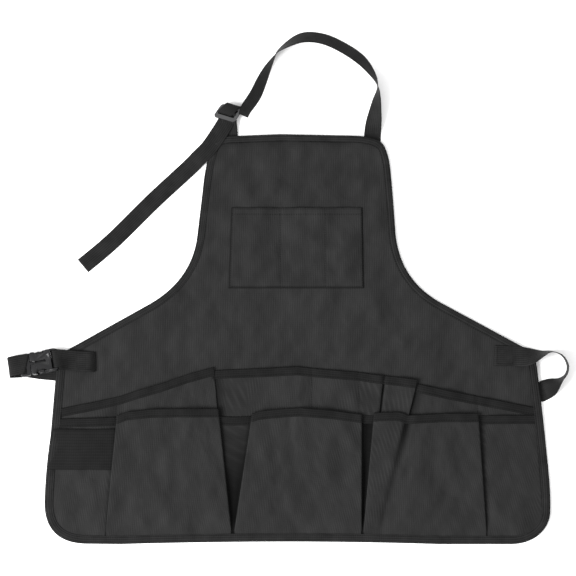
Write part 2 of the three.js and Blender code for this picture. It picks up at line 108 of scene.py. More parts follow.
def facingOut(piece):
    work = bmesh.new()
    work.from_mesh(piece.data)
    bmesh.ops.recalc_face_normals(work, faces=work.faces)
    work.to_mesh(piece.data)
    work.free()


def facingUp(piece):
    facingOut(piece)
    if sum(f.normal.z for f in piece.data.polygons) < 0:
        piece.data.flip_normals()


def finishPiece(piece, body, material, slot, *nodes):
    piece.data.materials.clear()
    piece.data.materials.append(material)
    if body:
        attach(piece, body)
    if nodes:
        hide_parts(*nodes)
    return piece


def mix(a, b, t):
    return a + (b - a) * t


def ease(t):
    t = min(max(t, 0), 1)
    return t * t * (3 - 2 * t)


def ripples(x, y, waves):
    # soft folds: each wave is heading, length along it, width across it, height and seed
    total = 0
    for heading, length, width, height, seed in waves:
        c, s = math.cos(math.radians(heading)), math.sin(math.radians(heading))
        total += height * noise.noise(Vector(((x * c + y * s) / length, (y * c - x * s) / width, seed)))
    return total


def bezier(points, t):
    while len(points) > 1:
        points = [(mix(a[0], b[0], t), mix(a[1], b[1], t)) for a, b in zip(points, points[1:])]
    return points[0]


def bands(pitch):
    # wave texture scale that repeats every pitch millimetres
    return math.pi / 10 / (pitch / 1000)


def patches(size):
    # noise texture scale whose patches are about size millimetres across
    return 1000 / size


def darkToLight(settings):
    # what a colour Mix node takes to go from a finish's dark tone to its light one
    return {"data_type": "RGBA", 6: linear(settings["dark"]), 7: linear(settings["light"])}


def finishMaterial(material, colour, bump, surface):
    shader = addNode(material, "BsdfPrincipled", surface, {"Base Color": colour, "Normal": bump})
    addNode(material, "OutputMaterial", {}, {"Surface": shader})
    return material


def emptyMaterial(name):
    material = bpy.data.materials.new(name)
    material.use_nodes = True
    material.node_tree.nodes.clear()
    return material


oxfordCloth = {
    "dark": "#161616", "light": "#272727",
    "inside": "#030303",  # painted shade: the near-black the cloth is darkened to in pleats, slits, soft folds and along pocket edges, where little light reaches
    "rib": 3.6,           # real warp ribs are 0.8 apart, drawn coarser so that they show
    "weft": 2.9, "ribDepth": 0.22,
    "beat": (0.9, 5),     # pitch and turn of the second set of ribs
    "streak": (30, 70),   # how wide and long the paler patches are
    "crease": 38.5, "creaseDepth": 4.2,
    "surface": {"Roughness": 0.72, "IOR": 1.5, "Specular IOR Level": 0.05, "Sheen Weight": 0.015,
        "Sheen Roughness": 0.5},
}


def makeOxford(name, settings):
    # 600-denier Oxford polyester: matt black with fine upright ribs, and a faint silvery sheen
    material = emptyMaterial(name)
    uv = addNode(material, "UVMap", {"uv_map": "weave"})
    ribs = addNode(material, "TexWave", {"bands_direction": "X", "Scale": bands(settings["rib"]),
            "Distortion": 0}, {"Vector": uv})
    # a second set of ribs, a little off the first, beats against it as an open weave's two faces do
    share, turn = settings["beat"]
    turned = addNode(material, "Mapping", {"Rotation": (0, 0, math.radians(turn))}, {"Vector": uv})
    beat = addNode(material, "TexWave", {"bands_direction": "X", "Scale": bands(settings["rib"] * share)},
        {"Vector": turned})
    weft = addNode(material, "TexWave", {"bands_direction": "Y", "Scale": bands(settings["weft"])},
        {"Vector": uv})
    streak = (*[patches(size) for size in settings["streak"]], 1)
    stretched = addNode(material, "Mapping", {"Scale": streak}, {"Vector": uv})
    streaks = addNode(material, "TexNoise", {"Scale": 1, "Detail": 4, "Roughness": 0.62},
        {"Vector": stretched})
    both = addNode(material, "Math", {"operation": "MULTIPLY"}, {0: ribs, 1: beat})
    crossed = addNode(material, "Math", {"operation": "MULTIPLY_ADD", 1: 0.3}, {0: weft, 2: both})
    tone = addNode(material, "Math", {"operation": "MULTIPLY_ADD", 1: 0.26}, {0: crossed, 2: streaks})
    spread = addNode(material, "MapRange", {"From Min": 0.25, "From Max": 0.95}, {0: tone})
    woven = addNode(material, "Mix", darkToLight(settings), {0: spread})
    # painted shade: the strips' shade attribute darkens the woven colour towards near-black in pleats,
    # slits, soft folds and along pocket edges
    inside = addNode(material, "Attribute", {"attribute_name": "paintedPleatShade"})
    colour = addNode(material, "Mix", {"data_type": "RGBA", 7: linear(settings["inside"])},
        {0: inside, 6: woven})
    creases = addNode(material, "TexNoise", {"Scale": patches(settings["crease"]), "Detail": 3,
            "Roughness": 0.5, "Distortion": 0.4}, {"Vector": uv})
    rumple = addNode(material, "Bump", {"Strength": 0.55, "Distance": settings["creaseDepth"] / 1000},
        {"Height": creases})
    grain = addNode(material, "Bump", {"Strength": 0.7, "Distance": settings["ribDepth"] / 1000},
        {"Height": crossed, "Normal": rumple})
    return finishMaterial(material, colour, grain, settings["surface"])


# "rib" is the spacing of the ribs, drawn coarser than on real tape so that they show
tapeFinish = {"dark": "#101010", "light": "#222222", "rib": 2.8, "depth": 0.3, "roughness": 0.7}
mouthFinish = {"dark": "#0d0d0d", "light": "#181818", "rib": 2.4, "depth": 0.3, "roughness": 0.7}
bandFinish = {"dark": "#0f0f0f", "light": "#161616", "rib": 3.4, "depth": 0.2, "roughness": 0.66}
webbingFinish = {"dark": "#0d0d0d", "light": "#202020", "rib": 2.3, "depth": 0.2, "roughness": 0.6}


def makeTape(name, settings):
    # woven tape: u runs along it and v across, with fine ribs square to its edges
    material = emptyMaterial(name)
    uv = addNode(material, "UVMap", {"uv_map": "weave"})
    ribs = addNode(material, "TexWave", {"bands_direction": "X", "Scale": bands(settings["rib"]),
            "Distortion": 0.6, "Detail": 1}, {"Vector": uv})
    cords = addNode(material, "TexWave", {"bands_direction": "Y", "Scale": bands(settings["rib"] * 1.3)},
        {"Vector": uv})
    lint = addNode(material, "TexNoise", {"Scale": patches(22.2), "Detail": 4, "Roughness": 0.6},
        {"Vector": uv})
    weave = addNode(material, "Math", {"operation": "MULTIPLY_ADD", 1: 0.5}, {0: ribs, 2: cords})
    tone = addNode(material, "Math", {"operation": "MULTIPLY_ADD", 1: 0.35}, {0: weave, 2: lint})
    spread = addNode(material, "MapRange", {"From Min": 0.4, "From Max": 1.1}, {0: tone})
    colour = addNode(material, "Mix", darkToLight(settings), {0: spread})
    grain = addNode(material, "Bump", {"Strength": 0.8, "Distance": settings["depth"] / 1000},
        {"Height": weave})
    surface = {"Roughness": settings["roughness"], "Specular IOR Level": 0.05, "Sheen Weight": 0.015,
        "Sheen Roughness": 0.5}
    return finishMaterial(material, colour, grain, surface)


threadFinish = {
    "dark": "#060606", "light": "#101010", "cloud": 1.11, "grit": 1.11, "depth": 0.1, "bump": 0.3,
    "detail": (1, 1), "surface": {"Roughness": 0.75, "Specular IOR Level": 0.1},
}
acetalFinish = {
    "dark": "#141415", "light": "#1b1b1c", "cloud": 16.7, "grit": 0.714, "depth": 0.06, "bump": 0.25,
    "detail": (3, 2), "surface": {"Roughness": 0.3, "IOR": 1.48, "Specular IOR Level": 0.26},
}
nylonFinish = {
    "dark": "#1d1d1e", "light": "#3c3c3d", "cloud": 16.7, "grit": 1.11, "depth": 0.06, "bump": 0.25,
    "detail": (3, 2), "surface": {"Roughness": 0.22, "IOR": 1.48, "Specular IOR Level": 0.75},
}


def makeSolid(name, settings):
    # a plain body colour that clouds a little, with a fine grit: bonded thread has a soft gloss on each
    # stitch, moulded acetal a satin one over its spark-eroded texture, and polished nylon a bright one
    material = emptyMaterial(name)
    place = addNode(material, "TexCoord").outputs["Object"]
    cloudDetail, gritDetail = settings["detail"]
    grit = addNode(material, "TexNoise", {"Scale": patches(settings["grit"]), "Detail": gritDetail},
        {"Vector": place})
    cloudy = addNode(material, "TexNoise", {"Scale": patches(settings["cloud"]), "Detail": cloudDetail},
        {"Vector": place})
    depth = settings["depth"] / 1000
    grain = addNode(material, "Bump", {"Strength": settings["bump"], "Distance": depth}, {"Height": grit})
    colour = addNode(material, "Mix", darkToLight(settings), {0: cloudy})
    return finishMaterial(material, colour, grain, settings["surface"])


cloth = makeOxford("blackOxfordCloth", oxfordCloth)
tape = makeTape("bindingTape", tapeFinish)  # folded polyester tape
mouthTape = makeTape("pocketMouthTape", mouthFinish)
wideBand = makeTape("wideWebbing", bandFinish)
webbing = makeTape("strapWebbing", webbingFinish)  # polypropylene
thread = makeSolid("sewingThread", threadFinish)
acetal = makeSolid("mouldedAcetal", acetalFinish)
polished = makeSolid("polishedNylon", nylonFinish)
print("materials made")


# the apron's edge: each run is its start, then the control points of each stretch
outline = {
    "bibTop": [(-112, 217), [(-104, 226), (-88, 227)], [(-12, 230)], [(96, 228)],
        [(136, 227), (144, 213)]],
    "armholeRight": [(144, 213), [(152, 198), (154, 172)], [(158, 130), (161, 84)],
        [(167, 10), (232, -24)], [(360, -93)]],
    "skirt": [(360, -93), [(372, -101), (374, -128)], [(384, -205), (391, -280)],
        [(394, -312), (393, -338)], [(391, -362), (370, -384), (335, -384.5)], [(228, -384.5)],
        [(0, -377), (-250, -384.5)], [(-300, -384)], [(-340, -384), (-364, -366), (-365, -325)],
        [(-364, -275), (-356, -222)],
        [(-348, -130)], [(-346, -102), (-334, -95)]],
    "armholeLeft": [(-334, -95), [(-212, -27)], [(-144, 10), (-136, 78)], [(-132, 112), (-128, 145)],
        [(-124, 190), (-112, 217)]],
}
outlineStep = 4  # spacing of the edge's points


def walkOutline():
    # the whole edge, clockwise, as (point, run name), evenly spaced along each stretch
    walked, fineSteps = [], 40
    for name, run in outline.items():
        start = run[0]
        for stretch in run[1:]:
            control = [start, *stretch]
            fine = [bezier(control, i / fineSteps) for i in range(fineSteps + 1)]
            length = sum(math.dist(a, b) for a, b in zip(fine, fine[1:]))
            count = max(2, round(length / outlineStep))
            walked += [(bezier(control, i / count), name) for i in range(count)]
            start = stretch[-1]
    return walked


edge = walkOutline()
edgeIn = []  # inward direction at each edge point
for i, (point, _) in enumerate(edge):
    before, after = Vector(edge[i - 2][0]), Vector(edge[(i + 2) % len(edge)][0])
    heading = (after - before).normalized()
    edgeIn.append(Vector((heading.y, -heading.x)))

lay = {
    "clear": 1.5,          # underside of the panel above the table: straps pass below it
    "swell": [(20, 260, 150, 2.2, 3.1), (100, 300, 110, 1.6, 7.7)], "swellRise": 0.7,
    "ply": 0.8, "flattest": 0.1,
    "rumple": (0.9, 1.9),  # mean height of the folds on the skirt and on the bib
    "bibFrom": -60, "bibBy": 120, "skirtFoldsOnBib": 0.8,
    "folds": [(84, 130, 30, 1.5, 1.3), (58, 90, 24, 1.0, 5.2), (122, 100, 26, 0.9, 9.4),
        (8, 140, 34, 0.9, 2.6)],
    "bibFolds": [(30, 60, 26, 3.6, 11.2), (150, 70, 28, 3.0, 4.9), (75, 46, 20, 2.0, 8.3)],
}


def lift(x, y):
    # how far the apron's underside stands off the table
    return lay["clear"] + max(0, lay["swellRise"] + ripples(x, y, lay["swell"]))


def panelTop(x, y):
    # the bib is the more rumpled part
    onBib = ease((y - lay["bibFrom"]) / lay["bibBy"])
    folds = ripples(x, y, lay["folds"]) * mix(1, lay["skirtFoldsOnBib"], onBib)
    folds += ripples(x, y, lay["bibFolds"]) * onBib
    return lift(x, y) + lay["ply"] + max(lay["flattest"], mix(*lay["rumple"], onBib) + folds)


panel = {
    "inset": 1.6, "pitch": 5.2, "thickness": 0.6,
    "margin": 0.6,      # from the rim to the points inside it, as a share of the pitch
    "rows": (-73, 45),  # staggered rows of points, counted from y = 0
    "rowGap": 0.9,      # as a share of the pitch
}


def makePanel(settings):
    pitch, inset = settings["pitch"], settings["inset"]
    rim = [Vector(p) + n * inset for (p, _), n in zip(edge, edgeIn)]
    inner = [Vector(p) + n * (inset + settings["margin"] * pitch) for (p, _), n in zip(edge, edgeIn)]
    points = list(rim)
    for row in range(*settings["rows"]):
        y = row * pitch * settings["rowGap"]
        crossings = sorted(mix(a.x, b.x, (y - a.y) / (b.y - a.y))
            for a, b in zip(inner, inner[1:] + inner[:1]) if (a.y - y) * (b.y - y) < 0)
        odd = row % 2
        for left, right in zip(crossings[::2], crossings[1::2]):
            count = max(1, round((right - left) / pitch))
            shares = [(i + 0.5 * odd) / count for i in range(count + 1 - odd)]
            points += [Vector((mix(left, right, share), y)) for share in shares]
    border = list(range(len(rim)))
    flat, _, faces, *_ = delaunay_2d_cdt(points, [], [border], 1, 1e-4)
    solid = [(p.x, p.y, panelTop(p.x, p.y)) for p in flat]
    made = newPiece("mainPanelCloth", solid, faces, [(p.x, p.y) for p in flat])
    facingUp(made)
    thicken(made, settings["thickness"])
    finishPiece(made, "apron", cloth, "cloth", "main_panel")
    return made


mainPanel = makePanel(panel)
print("main panel", len(mainPanel.data.polygons))


binding = {
    # section of the folded tape: distance in from the fold, height above the panel's underside
    "section": [(12.6, -0.5), (7, -0.6), (2.4, -0.6), (0.7, -0.35), (0, 0.4), (0, 1.3), (0.6, 2.1),
        (1.8, 2.55), (2.7, 2.6), (3.3, 2.2), (4.1, 2.62), (7, 2.75), (9.3, 2.6), (10.4, 2.15),
        (11.6, 2.55), (12.5, 2.5), (12.7, 2.2), (12.5, 1.75),
        (10, 1.6), (5, 1.7), (2, 1.7), (1.1, 1.2), (1.1, 0.5), (2, 0.1), (7, 0), (12.5, 0)],
    "sectionWidth": 12.5,  # the width that the section is drawn at, and how much of it each run shows
    "shown": {"bibTop": 9.5, "armholeRight": 10.5, "armholeLeft": 10.5, "skirt": 12.5},
    "puckered": range(7, 17), "lifted": range(8, 17),  # points of the section on its upper layer
    "pucker": 0.25, "lap": 0.3,
    "panelRest": 1.7, "follow": 0.85,             # how closely the upper layer keeps to the panel's folds
    "overPockets": 2.2, "from": -172, "by": 22,   # it lies over the ends of the pockets
}


def bindingRise(x, y):
    folds = (panelTop(x, y) - lift(x, y) - binding["panelRest"]) * binding["follow"]
    return folds + binding["overPockets"] * ease((binding["from"] - y) / binding["by"])


def makeBinding(name, run, node, settings):
    laps = run in ("bibTop", "skirt")  # over the ends of the armhole bindings
    inRun = [i for i, (_, r) in enumerate(edge) if r == run]
    stations = range(inRun[0], inRun[-1] + 2 + laps)
    share = settings["shown"][run] / settings["sectionWidth"]
    section = [(a * share, b) for a, b in settings["section"]]
    points, uvs, walked, last = [], [], 0, None
    for i in stations:
        (x, y), n = edge[i % len(edge)][0], edgeIn[i % len(edge)]
        walked += math.dist(last, (x, y)) if last else 0
        last = (x, y)
        across = 0
        for k, (inside, up) in enumerate(section):
            px, py = x + n.x * inside, y + n.y * inside
            z = lift(px, py) + up
            if k in settings["puckered"]:
                z += settings["pucker"] * noise.noise(Vector((walked / 9, inside / 6, 4.4)))
            if k in settings["lifted"]:
                z += bindingRise(px, py) + settings["lap"] * laps
            points.append((px, py, max(z, 0.05)))
            across += math.dist(section[k - 1], section[k]) if k else 0
            uvs.append((walked, across))
    rows = len(stations)
    faces = gridFaces(rows, len(section), wrap=True)
    faces += [tuple(range(len(section)))[::-1],
        tuple((rows - 1) * len(section) + k for k in range(len(section)))]
    made = newPiece(name, points, faces, uvs)
    facingOut(made)
    finishPiece(made, "apron", tape, "binding", node)


for name, run, node in [("bibTopBinding", "bibTop", "binding_bib_top"),
        ("armholeBindingRight", "armholeRight", "binding_armhole_right"),
        ("skirtBinding", "skirt", "binding_skirt"),
        ("armholeBindingLeft", "armholeLeft", "binding_armhole_left")]:
    makeBinding(name, run, node, binding)
print("edge bindings made")


# A pocket is a strip of cloth from the hem to the mouth, given by lines that run up it. Each line is
# (x at the hem, x at the mouth, y of the mouth, rise), and where it lies in a pleat, a slit, a soft fold
# or along a pocket's edge also how much painted shade darkens it at the mouth and at the hem.

def foldLines(hemX, mouthX, mouthY, rise, tuck, low, lowMouthY, side):
    # an S through the fold's edge: over the top, round the edge, back under it, and down
    # side 1 folds the cloth on its left over what is on its right, and -1 the other way round
    # the last value of each bend is its painted shade: none on the fold's top, rising round the edge to
    # full in the hollow under it
    over = [(-3.2, 0, 1.0, 0), (-1.1, 0, 0.98, 0), (-0.2, 0, 0.86, 0.1), (0, 0, 0.7, 0.6),
        (-0.5, 0.1, 0.55, 1)]
    under = [(-1.2, 0.5, 0.42, 1), (-1, 1, 0.28, 1), (0.5, 1, 0.1, 1), (2.5, 0.6, 0.02, 0.8)]
    lines = []
    for y, bends in ((mouthY, over), (lowMouthY, under)):
        for nudge, tucked, height, dark in bends:
            x = mouthX + side * (nudge - tucked * tuck)
            lines.append((hemX + side * nudge * 0.5, x, y, mix(low, rise, height), dark, dark))
    return lines if side > 0 else lines[::-1]


def fillLines(stops, spacing):
    # extra lines between the given ones, so that none is further apart than spacing
    lines = []
    stops = [(*stop, 0, 0)[:6] for stop in stops]  # a line without shades has none
    for a, b in zip(stops, stops[1:]):
        gap = max(abs(a[0] - b[0]), abs(a[1] - b[1]))
        count = max(1, math.ceil(gap / spacing)) if gap > 4 else 1
        for i in range(count):
            line = [mix(p, q, i / count) for p, q in zip(a, b)]
            line[3] = mix(a[3], b[3], ease(i / count))
            lines.append(tuple(line))
    return lines + [stops[-1]]


hem = {"lap": 8.5, "curveFrom": -310}  # the bottom binding holds this much of a strip
hemRim = sorted((p[0] + n.x * hem["lap"], p[1] + n.y * hem["lap"])
    for (p, run), n in zip(edge, edgeIn) if run == "skirt" and p[1] < hem["curveFrom"])


def hemAt(x, hemY):
    # the waist pockets' lower edge is caught under the binding, rounded corners and all
    if hemY is not None:
        return hemY
    k = min(max(sum(1 for p in hemRim if p[0] < x), 1), len(hemRim) - 1)
    (xa, ya), (xb, yb) = hemRim[k - 1:k + 1]
    return mix(ya, yb, min(max((x - xa) / max(xb - xa, 0.01), 0), 1))


def stripPoint(line, down, settings):
    # the point on a strip's line, down millimetres below its mouth
    hemX, mouthX, mouthY, rise = line[:4]
    hemY = hemAt(hemX, settings["hemY"])
    t = 1 - down / (mouthY - hemY)
    x, y = mix(hemX, mouthX, t), mouthY - down
    # the upper tier is pressed flat where the lower one lies on it
    belly = ease((y - hemY) / settings["toe"]) * mix(settings["pressed"], 1, ease((y + 205) / 18))
    soft = min(1, rise / 3) * ripples(x, y, settings["waves"]) * belly
    return x, y, panelTop(x, y) + settings["base"] + rise * belly + soft


def makeStrip(name, settings, node):
    lines, rows = fillLines(settings["lines"], settings["spacing"]), settings["rows"]
    points, uvs, shade = [], [], []
    for r in range(rows):
        along, up = 0, r / (rows - 1)
        for c, line in enumerate(lines):
            # painted shade for each point, eased from the line's hem value to its mouth value; the lowest
            # row can also get a painted dark line along the hem
            dark = mix(line[5], line[4], ease((up - 0.35) / 0.65))
            shade.append(max(dark, settings["hemShade"] * (r == 0)))
            down = (line[2] - hemAt(line[0], settings["hemY"])) * (1 - up)
            p = stripPoint(line, down, settings)
            if c:
                along += math.dist(p, points[-1])
            points.append(p)
            # the ribs run nearly straight up the strip's lines
            uvs.append((line[0] + (along - line[0]) * 0.12 * r / rows, -down))
    made = newPiece(name, points, gridFaces(rows, len(lines)), uvs)
    made.data.attributes.new("paintedPleatShade", "FLOAT", "POINT").data.foreach_set("value", shade)
    thicken(made, settings["thickness"])
    finishPiece(made, "apron", cloth, "cloth", node)
    return lines


mouthFold = {
    # section of the folded tape: distance down from the mouth, height off the strip
    "section": [(3.5, -1.3), (0.5, -1.2), (-0.9, -0.7), (-0.9, 0.3), (0.5, 0.75), (3, 0.75), (6, 0.75),
        (8.4, 0.7), (9.8, 0.4), (11, 0.65), (12, 0.6), (12.1, 0.1)],
    "lap": 4, "thickness": 0.25,
}


def makeMouthBinding(name, lines, strip, node, settings):
    # tape folded over the mouth, on the same lines as the strip
    points, uvs = [], []
    for down, height in settings["section"]:
        along = 0
        for c, line in enumerate(lines):
            x, y, z = stripPoint(line, down, strip)
            points.append((x, y, z + height))
            if c:
                along += math.dist(points[-2], points[-1])
            uvs.append((along, down + settings["lap"] if height > 0 else -down))
    faces = [f[::-1] for f in gridFaces(len(settings["section"]), len(lines))]
    made = newPiece(name, points, faces, uvs)
    thicken(made, settings["thickness"])
    finishPiece(made, "apron", mouthTape, "binding", node)


# "toe" is how far above the hem a strip has its full rise, "pressed" how much of it is left under another
upper = {
    "hemY": None, "hemShade": 0, "toe": 26, "pressed": 0.2, "base": 1.0, "spacing": 5.5,
    "rows": 42, "thickness": 0.6,
    "waves": [(150, 46, 13, 1.6, 2.2), (95, 80, 22, 1.6, 6.1), (40, 60, 16, 1.1, 8.8)],
    "lines": [
        (-356, -345, -183, 0), (-340, -331, -180, 0.6), (-300, -292, -172.5, 1.6),
        (-276, -263, -166, 0.5), (-273, -256.5, -164.5, 0.1), (-268, -250, -163, 0.6),
        (-240, -226, -155, 3.4), (-200, -190, -144.5, 3.8), (-150, -151, -131, 3.4),
        *foldLines(-90, -111, -120.5, 2.6, 5, 0.2, -125, 1),
        (-76, -96, -124, 0.2), (-70, -60, -122.5, 0.3), (-55, -40, -122, 1.6), (0, 14, -119, 2.4),
        (34, 33, -121, 0.9), (36, 35.5, -121.4, 0.2), (38, 38, -121.7, 0.9), (80, 70, -124.5, 2.2),
        (103, 103, -127, 0.9), (106, 106, -127.4, 0.2), (108, 109, -127.8, 0.8), (114, 130, -131, 2.4),
        (116, 142, -132, 2.8), (116.5, 143.5, -132.2, 0.4, 1, 1), (117, 145.5, -132.6, 0.3, 1, 1),
        (118, 147, -132.8, 2.8), (125, 168, -135, 3),
        *foldLines(136, 194, -138, 3.6, 7, 0.5, -144.5, 1),
        (160, 205, -147, 1.2), (230, 240, -155, 3), (280, 276, -162, 1.2), (296, 283, -163.4, 0.2),
        (302, 288, -164.5, 1), (340, 330, -172.5, 1.6), (372, 362, -179, 0.4), (384.5, 371.5, -180.4, 0),
    ],
}
lower = {
    "hemY": None, "hemShade": 0, "toe": 30, "pressed": 1, "base": 2.2, "spacing": 5.5,
    "rows": 40, "thickness": 0.6,
    "waves": [(98, 120, 24, 2.0, 3.7), (70, 90, 20, 1.5, 5.5), (125, 110, 26, 1.3, 1.9)],
    "lines": [
        (-356, -345.5, -197.5, 0), (-340, -332, -197, 0.8), (-300, -295, -196, 2.4),
        (-277, -266, -195, 1.2), (-274.5, -252, -194.5, 0.2),
        *foldLines(-274, -256.5, -191.5, 5.4, 8, 0.2, -194.5, -1),
        (-262, -240, -186.5, 5.6), (-225, -205, -182.5, 6), (-180, -163, -181.8, 6.4),
        (-130, -130, -181.8, 6.2),
        *foldLines(-84, -104, -181.8, 6.2, 8, 0.3, -193, 1),
        (-83.2, -96, -194, 0.4, 0.15, 1), (-82.8, -79, -194.4, 0.3, 0, 0.9),
        (-82.4, -62, -194, 0.4, 0.15, 1),
        *foldLines(-81.6, -54, -188.5, 6.2, 8, 0.3, -193, -1),
        (-60, -42, -185.5, 6.2), (-30, -7, -182, 6.4), (18, 18, -180.4, 6.6), (70, 62, -184, 6.4),
        *foldLines(110.2, 110.5, -190, 6.2, 3.6, 0.2, -191.5, 1),
        (111, 118, -191.5, 0.2, 1, 1),
        *foldLines(112, 128.5, -188, 6.2, 3.6, 0.2, -191.5, -1),
        (116, 140, -187.4, 6.4), (127, 163, -186.6, 6.2), (131, 173, -188.6, 5.6),
        # painted shade: the first two lines below darken a soft fold into a streak, strongest at the
        # mouth
        (134, 178, -191.4, 3.4, 1, 0.1), (137, 182, -191.6, 3, 1, 0.1), (146, 190, -191.2, 5.6),
        (210, 232, -189, 6.4), (270, 262, -189, 6.2),
        *foldLines(298, 285, -189, 6, 7, 0.3, -192, 1),
        (299.5, 296, -192.4, 0.6), (310, 306, -192.2, 2.4), (345, 338, -191.8, 2.4),
        (372, 363, -191.8, 0.6), (384.5, 372.5, -191.8, 0),
    ],
}
upperLines = makeStrip("upperPocketCloth", upper, "upper_pocket_panel")
lowerLines = makeStrip("lowerPocketCloth", lower, "lower_pocket_panel")
makeMouthBinding("upperPocketBinding", upperLines, upper, "upper_pocket_binding", mouthFold)
makeMouthBinding("lowerPocketBinding", lowerLines, lower, "lower_pocket_binding", mouthFold)
print("waist pockets made")

bibPocket = {
    # hemShade and the shades on the outermost lines paint shade: a dark outline along the pocket's bottom
    # and sides
    "hemY": -1, "hemShade": 0.7, "toe": 8, "pressed": 1, "base": 0.75, "spacing": 5, "rows": 26,
    "thickness": 0.5,
    "waves": [(60, 50, 15, 1.5, 4.1), (120, 40, 14, 1.1, 7.3)],
    "lines": [
        (-89.2, -84.8, 120, 0, 0.7, 0.7), (-87.6, -83.2, 120, 0.2, 0.6, 0.6), (-87, -82.5, 120, 0.5),
        (-84, -79.5, 120, 0.8), (-48, -46, 120, 1.8), (-15, -15, 119.6, 0.8), (-12, -12, 119.6, 0.1),
        (-9, -9, 119.6, 0.8), (22, 22, 120, 1.9), (52.5, 52.5, 120, 0.8), (55.5, 55.5, 120, 0.1),
        (58.5, 58.5, 120, 0.8), (84, 84, 120, 1.8), (108, 106.4, 120, 0.8), (111.5, 109.5, 120, 0.5),
        (112, 110, 120, 0.2, 0.6, 0.6), (113.6, 111.5, 120, 0, 0.7, 0.7),
    ],
}
bibLines = makeStrip("bibPocketCloth", bibPocket, "bib_pocket")
print("bib pocket made")


sideBand = {
    "flat": (106, 61), "steps": 30, "columns": 14, "thickness": 1.3,
    "low": -272.5, "high": -211.5, "seamX": (-254.8, -253.2), "edgeX": (-359.6, -353.6),
    # how far along it, from its seam to the apron's edge, and how high its face stands off the table
    "profile": [(0, 6.2), (0.04, 7.4), (0.09, 9), (0.25, 9.8), (0.55, 9.4), (0.8, 8.6), (0.92, 7.6),
        (1, 6.2)],
    "wander": 0.7, "sag": 1.3, "lowest": 0.9,
}


def makeSideBand(settings):
    columns, steps, profile = settings["columns"], settings["steps"], settings["profile"]
    long, wide = settings["flat"]
    points, uvs = [], []
    for s in range(steps + 1):
        t = s / steps
        k = max(i for i, (at, _) in enumerate(profile[:-1]) if at <= t)
        (a, za), (b, zb) = profile[k:k + 2]
        z = mix(za, zb, (t - a) / (b - a))
        for c in range(columns + 1):
            v = c / columns
            x = mix(mix(*settings["seamX"], v), mix(*settings["edgeX"], v), t)
            y = mix(settings["low"], settings["high"], v)
            y += settings["wander"] * noise.noise(Vector((x / 40, v * 3, 2)))
            sag = settings["sag"] * noise.noise(Vector((x / 34, y / 40, 6.6)))
            points.append((x, y, max(settings["lowest"], z + sag + lift(x, y) * 0.4 - 0.6)))
            uvs.append((t * long, v * wide))
    made = newPiece("sideLoopBand", points, gridFaces(steps + 1, columns + 1), uvs)
    facingUp(made)
    thicken(made, settings["thickness"])
    finishPiece(made, "apron", wideBand, "webbing", "side_loop_band")


makeSideBand(sideBand)
print("side loop made")


def splinePoint(points, k, t):
    last = len(points) - 1
    near = [points[min(max(i, 0), last)] for i in range(k - 1, k + 3)]
    return [0.5 * (2 * q + (r - p) * t + (2 * p - 5 * q + 4 * r - s) * t * t
            + (3 * q - p - 3 * r + s) * t ** 3) for p, q, r, s in zip(*near)]


strapStep = 5  # spacing of a strap's cross-sections


def strapFrames(stations, width, thickness):
    # centre, direction across and direction up off the strap's face, at each step along it
    frames = []
    for k in range(len(stations) - 1):
        count = max(1, round(math.dist(stations[k][:2], stations[k + 1][:2]) / strapStep))
        for i in range(count + (k == len(stations) - 2)):
            t = i / count
            x, y, roll, height = splinePoint(stations, k, t)
            xa, ya, *_ = splinePoint(stations, k, min(t + 0.02, 1))
            xb, yb, *_ = splinePoint(stations, k, max(t - 0.02, 0))
            heading = Vector((xa - xb, ya - yb, 0)).normalized()
            turn = math.radians(roll)
            across = Vector((heading.y * math.cos(turn), -heading.x * math.cos(turn), math.sin(turn)))
            face = across.cross(heading)
            rise = (abs(across.z) * width + abs(face.z) * thickness) / 2
            frames.append((Vector((x, y, max(height, 0) + rise)), across, face))
    return frames


ribbon = {
    # how far out, as a share of half the width, and how thick there: the selvedges are a little thinner
    "section": [(-1, 0.3), (-0.97, 0.75), (-0.86, 1), (-0.5, 1), (0, 1), (0.5, 1), (0.86, 1),
        (0.97, 0.75), (1, 0.3)],
}


def makeRibbon(name, frames, settings, node, body="apron", placing=None, bend=None):
    # woven ribbon along frames; a bend (where the piece starts and ends, in metres) only leaves it tied
    # to no body, with its placing baked into its points
    width, thickness = settings["width"], settings["thickness"]
    half = width / 2
    section = [(a * half, b * thickness / 2) for a, b in ribbon["section"]]
    section += [(a, -b) for a, b in section[::-1]]
    points, uvs, along = [], [], 0
    for i, (centre, across, face) in enumerate(frames):
        if i:
            along += (centre - frames[i - 1][0]).length
        for a, b in section:
            points.append(tuple(centre + across * a + face * b))
            uvs.append((along, a + half))
    size = len(section)
    faces = gridFaces(len(frames), size, wrap=True)
    faces += [tuple(range(size))[::-1], tuple((len(frames) - 1) * size + k for k in range(size))]
    made = newPiece(name, points, faces, uvs)
    facingOut(made)
    if placing:
        made.data.transform(placing)
    finishPiece(made, None if bend else body, webbing, "webbing", node)
    if bend:
        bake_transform(made)


